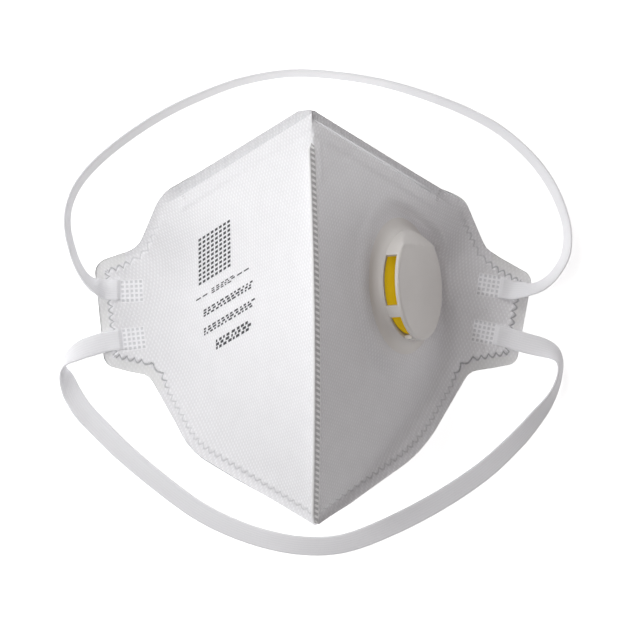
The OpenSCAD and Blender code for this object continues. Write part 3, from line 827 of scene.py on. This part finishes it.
def seam_fin():
    """The welded edge along the ridge; it leans to the left and has slanted dashes on its right face."""
    step = 0.16
    y = np.linspace(FIN_TOP_Y, -HALF_H + 0.3, int((FIN_TOP_Y + HALF_H) / step))
    base = face_z(np.zeros_like(y), y, False) - 0.25
    ends = smooth((FIN_TOP_Y - y) / 3.0) * (0.35 + 0.65 * smooth((y + HALF_H) / 4.0))
    k = 15
    right = np.linspace(0, 1, k)
    wobble = 0.12 * np.sin(y / 7.3) + 0.08 * np.sin(y / 2.9 + 1)
    rows = []
    press = []
    for v in right:                       # right face, from the ridge to the top edge
        phase = ((y - 1.1 * v) / FIN_PITCH) % 1
        dash = smooth((0.30 - np.abs(phase - 0.5)) / 0.14) * np.exp(-((v - 0.52) / 0.36) ** 4)
        out = 0.26 * dash * ends
        x = 0.75 * (1 - v) ** 0.8 - (FIN_LEAN - FIN_T * 0.45) * v + out * 0.7
        z = base + (FIN_H + 0.25) * ends * v ** 0.9 + out * 0.45 + wobble * v
        rows.append(np.stack([x * (0.5 + 0.5 * ends), y, z], axis=-1))
        # painted shade and highlight: between the dashes the right face is darkened, partly for the weld's
        # pressing and partly as painted shade; the dashes stay white as a painted highlight
        press.append(np.where((v > 0.12) & (v < 0.93), 0.85 * (1 - dash), 0.1))
    for v in np.linspace(1, 0, 7):        # rounded top edge and left face, back down to the ridge
        x = -FIN_LEAN * v - 0.5 * FIN_T * smooth(v * 4) - 0.25 * np.sin(pi * v)
        z = base + (FIN_H + 0.25 - 0.12) * ends * v
        rows.append(np.stack([x * (0.5 + 0.5 * ends), y, z + wobble * v], axis=-1))
        press.append(np.full(len(y), 0.1))
    points = np.stack(rows, axis=1)
    n, columns = points.shape[:2]
    faces = grid_faces(n, columns, True).tolist()
    faces += [list(range(columns)), [(n - 1) * columns + i for i in range(columns)][::-1]]
    cloth = np.stack([np.tile(np.arange(columns) * 0.35, (n, 1)), np.repeat(y[:, None], columns, axis=1),
                      np.stack(press, axis=1)], axis=-1)
    obj = piece("centre_seam", points.reshape(-1, 3), faces, SEAM, cloth=cloth.reshape(-1, 3))
    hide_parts("centre_seam")
    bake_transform(obj)


seam_fin()

# ---- nose clip and foam ----


def nose_strip(node, material, reach, inset, width, depth, thick, power):
    """A strip across the nose under the outer panels; power sets how square its edges are."""
    x = np.linspace(-reach, reach, 161)
    away = np.abs(x)
    half = np.sqrt(away ** 2 + 1.2 ** 2) - 1.2

    def line(below):
        y = NOSE_A[1] + (half - NOSE_A[0]) * NOSE_DIR[1] / NOSE_DIR[0] - below / NOSE_DIR[0]
        gx, gy = slopes(half, y, False)
        return np.stack([x, y, face_z(half, y, False) - np.sqrt(1 + gx ** 2 + gy ** 2) * depth], axis=-1)

    middle, wide = line(inset), line(inset + 0.5) - line(inset - 0.5)
    wide /= np.linalg.norm(wide, axis=1)[:, None]
    along = np.gradient(middle, axis=0)
    thin = np.cross(wide, along)
    thin /= np.linalg.norm(thin, axis=1)[:, None]
    turn = np.linspace(0, 2 * pi, 29)[:-1]
    c, s = np.cos(turn), np.sin(turn)
    section = np.stack([np.sign(c) * np.abs(c) ** (2 / power) * width / 2,
                        np.sign(s) * np.abs(s) ** (2 / power) * thick / 2], axis=1)
    ends = (1 - np.abs(x / reach) ** (30 if power > 5 else 40)) ** 0.5
    points = (middle[:, None] + wide[:, None] * (section[None, :, :1] * ends[:, None, None])
              + thin[:, None] * section[None, :, 1:] * np.maximum(ends, 0.3)[:, None, None])
    n, k = points.shape[:2]
    obj = piece(node, points.reshape(-1, 3), tube_faces(n, k, True), material)
    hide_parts(node)
    return obj


CLIP_DEPTH = OUTER_T + CLIP_ROOM / 2
FOAM_DEPTH = CLIP_ROOM + STACK_T + FOAM_CLEAR + FOAM_T / 2
clip = nose_strip("nose_clip", METAL, CLIP_REACH, CLIP_INSET, CLIP_W, CLIP_DEPTH, CLIP_T, 8)
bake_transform(clip)
foam = nose_strip("nose_foam", FOAM, FOAM_REACH, FOAM_INSET, FOAM_W, FOAM_DEPTH, FOAM_T, 4)
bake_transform(foam)

# ---- valve, drawn around its own axis with the fabric at z = 0 ----

FLANGE_R, COVER_R, COVER_H, COVER_LEAN = 25.4, 20.2, 8.4, 5.4
SEAT_R, SEAT_H, FLAP_R, FLAP_T, FLAP_GAP = 15.6, 3.0, 17.8, 0.4, 0.05
CHORD_Y, PEG_R = 13.0, 0.9
COVER_LOW, COVER_WALL, COVER_ROUND = 1.3, 1.1, 0.9
WINDOWS = [(147, 202), (215, 252), (288, 325), (338, 393)]
WINDOW_LOW, WINDOW_LIP = 3.85, 1.6
FACET_Y, FACET_TILT = 14.5, 30.0
RING_Z, RING_T, RING_R = -STACK_T - 0.35, 1.2, 21.5


def valve_piece(node, points, faces, material, slot_name, body, sharp=0.0):
    """A rigid piece of the valve; sharp is the size of the round on its sharp edges."""
    mesh = bpy.data.meshes.new(node)
    mesh.from_pydata((np.asarray(points, float) * MM).tolist(), [], [list(f) for f in faces])
    mesh.transform(VALVE_PLACE)
    work = bmesh.new()
    work.from_mesh(mesh)
    bmesh.ops.remove_doubles(work, verts=work.verts, dist=1e-6)
    bmesh.ops.recalc_face_normals(work, faces=work.faces)
    if sharp:
        edges = [e for e in work.edges if len(e.link_faces) == 2 and e.calc_face_angle(0) > radians(40)]
        bmesh.ops.bevel(work, geom=edges, offset=sharp * MM, segments=2, affect="EDGES", profile=0.5,
                        clamp_overlap=True)
    work.to_mesh(mesh)
    work.free()
    obj = smooth_object(node, mesh, material)
    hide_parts(node)
    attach(obj, body)
    return obj


def lathe(profile, n=144):
    """A ring turned from a closed profile of radii and heights."""
    turn = np.linspace(0, 2 * pi, n, endpoint=False)
    r, z = np.array(profile, float).T
    points = np.stack([np.outer(np.cos(turn), r), np.outer(np.sin(turn), r), np.tile(z, (n, 1))], axis=-1)
    k = len(profile)
    i, j = np.meshgrid(np.arange(n), np.arange(k), indexing="ij")
    a, b = i * k + j, i * k + (j + 1) % k
    c, d = ((i + 1) % n) * k + (j + 1) % k, ((i + 1) % n) * k + j
    return points.reshape(-1, 3), np.stack([a, b, c, d], axis=-1).reshape(-1, 4).tolist()


def bar(x0, x1, y0, y1, z0, z1, turn=0.0):
    """A box, turned about the valve's axis."""
    c, s = cos(radians(turn)), sin(radians(turn))
    corners = ((x0, y0), (x1, y0), (x1, y1), (x0, y1))
    points = [(x * c - y * s, x * s + y * c, z) for z in (z0, z1) for x, y in corners]
    faces = [(3, 2, 1, 0), (4, 5, 6, 7), (0, 1, 5, 4), (1, 2, 6, 5), (2, 3, 7, 6), (3, 0, 4, 7)]
    return points, faces


def joined(parts):
    points, faces = [], []
    for p, f in parts:
        faces += [[i + len(points) for i in face] for face in f]
        points += [tuple(q) for q in p]
    return points, faces


def prism(outline, low, high):
    n = len(outline)
    points = [(x, y, z) for z in (low, high) for x, y in outline]
    faces = [list(range(n))[::-1], [n + i for i in range(n)]]
    faces += [[i, (i + 1) % n, n + (i + 1) % n, n + i] for i in range(n)]
    return points, faces


def base():
    """Flange with a hollow skirt up to the cover, seat, spigot through the fabric and three spokes."""
    low = RING_Z - RING_T
    skirt = [(FLANGE_R, 0.05), (FLANGE_R + 0.25, 0.2), (FLANGE_R + 0.2, 0.45), (25.2, 0.62), (24.4, 0.78),
             (23.4, 1.0), (22.5, 1.35), (21.8, 1.8), (21.2, 2.35), (20.8, 2.9), (20.5, 3.35), (20.28, 3.7),
             (20.1, 3.75)]
    seat = [(20.1, 1.22), (16.9, 1.2), (16.9, 2.7), (16.75, 2.95), (16.5, 3.0), (15.9, 3.0), (15.65, 2.9),
            (SEAT_R, 2.7), (SEAT_R, low + 0.1), (15.75, low), (16.7, low), (16.8, low + 0.1), (16.8, 0.05)]
    parts = [lathe(skirt + seat)]
    for turn in (30, 90, 150):
        parts.append(bar(-SEAT_R - 0.3, SEAT_R + 0.3, -0.8, 0.8, 0.3, 1.8, turn))
    valve_piece("valve_base", *joined(parts), VALVE, "valve_plastic", "right_half", 0.08)


def disc(r, y_max, n=120):
    limit = asin(y_max / r)
    turn = np.linspace(pi - limit, 2 * pi + limit, n)
    return [(r * cos(t), r * sin(t)) for t in turn]


def cover_top(x, y, drop=0.0):
    """Height of the cover's top: a leaning plane with a slanted facet at the hinge side."""
    lean = tan(radians(COVER_LEAN))
    plane = COVER_H - drop - lean * x
    facet = plane - tan(radians(FACET_TILT)) * (y - FACET_Y + drop * 0.3)
    ridge = 0.22 * np.exp(-((y - FACET_Y + 0.3) / 0.35) ** 2) * (drop == 0)
    return -soft_max(-plane, -facet, 0.1) + ridge


def cover():
    """Round cap with outlet windows in its wall, a rounded top edge and a slanted facet."""
    cuts = sorted({a % 360 for w in WINDOWS for a in w})
    marks = [cuts[-1] - 360] + cuts
    turn = np.concatenate([np.linspace(a, b, max(3, int((b - a) / 2.0)), endpoint=False)
                           for a, b in zip(marks, marks[1:])])
    n = len(turn)
    angle = np.radians(turn)
    c, s = np.cos(angle), np.sin(angle)

    def ring(r, z):
        return np.stack([r * c, r * s, z], axis=-1)

    def shell(r, drop, low, rounding):
        top = cover_top(r * c, r * s, drop)
        rows = [ring(r, np.full(n, low)), ring(r, np.full(n, WINDOW_LOW)),
                ring(r, cover_top(COVER_R * c, COVER_R * s) - WINDOW_LIP)]
        for t in np.radians([0, 22.5, 45, 67.5, 90]):
            inner = r - rounding * (1 - cos(t))
            rows.append(ring(inner, cover_top(inner * c, inner * s, drop) - rounding * (1 - sin(t))))
        for share in (0.93, 0.87, 0.81, 0.75, 0.69, 0.6, 0.5, 0.35, 0.2):
            inner = (r - rounding) * share
            rows.append(ring(inner, cover_top(inner * c, inner * s, drop)))
        return rows + [np.tile([0.0, 0.0, float(cover_top(0.0, 0.0, drop))], (n, 1))]

    outer = shell(COVER_R, 0, COVER_LOW, COVER_ROUND)
    inner = shell(COVER_R - COVER_WALL, 1.0, COVER_LOW, 0.3)
    points = np.concatenate(outer + inner)
    k = len(outer)
    in_window = [any((t - a) % 360 < (b - a) - 0.01 for a, b in WINDOWS) for t in turn]
    faces = []
    for i in range(n):
        j = (i + 1) % n
        for row in range(k - 1):
            if row == 1 and in_window[i]:
                for r0, flip in ((1, False), (2, True)):
                    q = [r0 * n + i, r0 * n + j, (k + r0) * n + j, (k + r0) * n + i]
                    faces.append(q[::-1] if flip else q)
                continue
            faces.append([row * n + i, row * n + j, (row + 1) * n + j, (row + 1) * n + i])
            low, high = (k + row) * n, (k + row + 1) * n
            faces.append([low + i, high + i, high + j, low + j])
        if in_window[i] != in_window[i - 1]:
            faces.append([n + i, 2 * n + i, (k + 2) * n + i, (k + 1) * n + i])
        faces.append([i, k * n + i, k * n + j, j])
    clean = []
    for f in faces:
        key = []
        for v in f:
            if v // n in (k - 1, 2 * k - 1):
                v = v // n * n
            if v not in key:
                key.append(v)
        clean.append(key)
    catch = bar(19.3, 20.75, -2.0, 1.4, 5.7, 7.3, 255)
    parts = joined([(points, clean), catch])
    valve_piece("valve_cover", *parts, VALVE, "valve_plastic", "right_half", 0.12)


def flap():
    low = SEAT_H + FLAP_GAP
    points, faces = prism(disc(FLAP_R, CHORD_Y), low, low + FLAP_T)
    valve_piece("valve_flap", points, faces, FLAP, "flap_rubber", "flap", 0.1)


def clamp():
    """Bar with two pegs that holds the flap's straight edge."""
    parts = [bar(-9, 9, CHORD_Y + 0.1, CHORD_Y + 3.1, SEAT_H + FLAP_GAP, SEAT_H + 1.5)]
    turn = np.linspace(0, 2 * pi, 24, endpoint=False)
    for x in (-6, 6):
        circle = [(x + PEG_R * cos(t), CHORD_Y + 1.6 + PEG_R * sin(t)) for t in turn]
        parts.append(prism(circle, SEAT_H + 1.4, SEAT_H + 2.1))
    valve_piece("flap_clamp", *joined(parts), VALVE, "valve_plastic", "right_half", 0.12)


def backing_ring():
    low = RING_Z - RING_T
    profile = [(RING_R - 0.1, RING_Z), (RING_R, RING_Z - 0.15), (RING_R, low + 0.3), (RING_R - 0.3, low),
               (17.1, low), (16.95, low + 0.15), (16.95, RING_Z)]
    valve_piece("valve_backing_ring", *lathe(profile), VALVE, "valve_plastic", "right_half", 0.0)


base()
flap()
clamp()
cover()
backing_ring()

# ---- printed marks: plain dots and dashes on the left panel ----

PRINT_AT, PRINT_TURN, INK_LIFT = (-33.4, 11.0), 31.0, 0.07


def printed():
    """Rows of dots and dashes, where such masks carry their printing."""
    rng = np.random.default_rng(31)
    marks = []
    for row in range(11):                                  # a plain block of dots
        for column in range(8):
            marks.append((-7.6 + column * 1.5, 22.5 - row * 1.6, 0.95, 0.9))
    for x in (-8.2, -5.8, 6.6, 9.0):                       # long dashes on both sides of a row of short ones
        marks.append((x, 1.2, 1.7, 0.5))
    lines = [(-3.4, 4.0, 1.2, 2.2), (-6.4, 10.8, -5.2, 2.9),
             (-6.4, 10.8, -12.0, 2.9), (-2.2, 9.8, -19.2, 3.9)]
    for start, until, y, height in lines:
        for part in range(3):                              # each line is three rows of dashes
            x = start
            while x < until:
                wide = rng.uniform(0.5, 1.3)
                marks.append((x + wide / 2, y + (part - 1) * height / 3, wide, height / 3 - 0.3))
                x += wide + rng.uniform(0.4, 0.8)
    rise = tan(radians(PRINT_TURN))
    points, faces = [], []
    for u, v, wide, high in marks:
        first = len(points)
        for dv in (-0.5, 0.5):
            for du in (-0.5, 0, 0.5):
                p, q = u + du * wide, v + dv * high
                points.append((PRINT_AT[0] + p, PRINT_AT[1] + q + p * rise))
        faces += [[first, first + 1, first + 4, first + 3], [first + 1, first + 2, first + 5, first + 4]]
    x, y = -np.array(points)[:, 0], np.array(points)[:, 1]
    d, run = near_rim(x, y, "left")
    deep, _ = outer_relief("left")(x, y, d, run)
    gx, gy = slopes(x, y, False)
    normal = np.stack([-gx, -gy, np.ones_like(gx)], axis=-1)
    normal /= np.linalg.norm(normal, axis=-1)[:, None]
    z = face_z(np.sqrt(x ** 2 + RIDGE_ROUND ** 2) - RIDGE_ROUND, y, False)
    place = np.stack([x, y, z], axis=-1) - normal * (deep - INK_LIFT)[:, None]
    place[:, 0] *= -1
    piece("printed_marks", place, faces, INK, body="left_half")


printed()

# ---- floor and light ----

FLOOR_DROP = 0.6 * MM    # just below the straps


def floor():
    mesh = bpy.data.meshes.new("floor")
    size = 3.0
    corners = [(-size, -size, 0), (size, -size, 0), (size, size, 0), (-size, size, 0)]
    mesh.from_pydata(corners, [], [(0, 1, 2, 3)])
    n = Nodes("floor_white", Roughness=1.0, Base_Color=(0.9, 0.9, 0.9, 1))
    n.shader.inputs["Emission Color"].default_value = (1, 1, 1, 1)
    n.shader.inputs["Emission Strength"].default_value = 0.6
    mesh.materials.append(n.material)
    obj = bpy.data.objects.new("floor", mesh)
    obj.location.z = -FLOOR_DROP
    scene.collection.objects.link(obj)


def area_light(name, place, aim, size, power, colour=(1, 1, 1)):
    data = bpy.data.lights.new(name, "AREA")
    data.shape = "RECTANGLE"
    data.size, data.size_y = size
    data.energy = power
    data.color = colour
    obj = bpy.data.objects.new(name, data)
    obj.location = place
    obj.rotation_euler = (Vector(aim) - Vector(place)).to_track_quat("-Z", "Y").to_euler()
    scene.collection.objects.link(obj)


def world_light(strength):
    world = bpy.data.worlds.new("studio")
    world.use_nodes = True
    world.node_tree.nodes["Background"].inputs["Color"].default_value = (1, 1, 1, 1)
    world.node_tree.nodes["Background"].inputs["Strength"].default_value = strength
    scene.world = world


floor()
world_light(0.0)
area_light("key", (-1.15, 0.0, 0.97), (0, 0, 0.03), (0.7, 0.7), 8.2)
area_light("upper_left", (-0.6, 1.0, 0.95), (0, 0, 0.03), (0.7, 0.7), 6.7)
area_light("high_left", (-0.75, 0.0, 1.30), (0, 0, 0.03), (0.7, 0.7), 4.0)
area_light("overhead", (0.0, 0.0, 1.50), (0, 0, 0.03), (0.7, 0.7), 3.5, (1, 0.97, 0.965))
area_light("right_fill", (1.15, 0.0, 0.97), (0, 0, 0.03), (0.7, 0.7), 2.1, (1, 0.90, 0.885))
scene.view_settings.view_transform = "Standard"
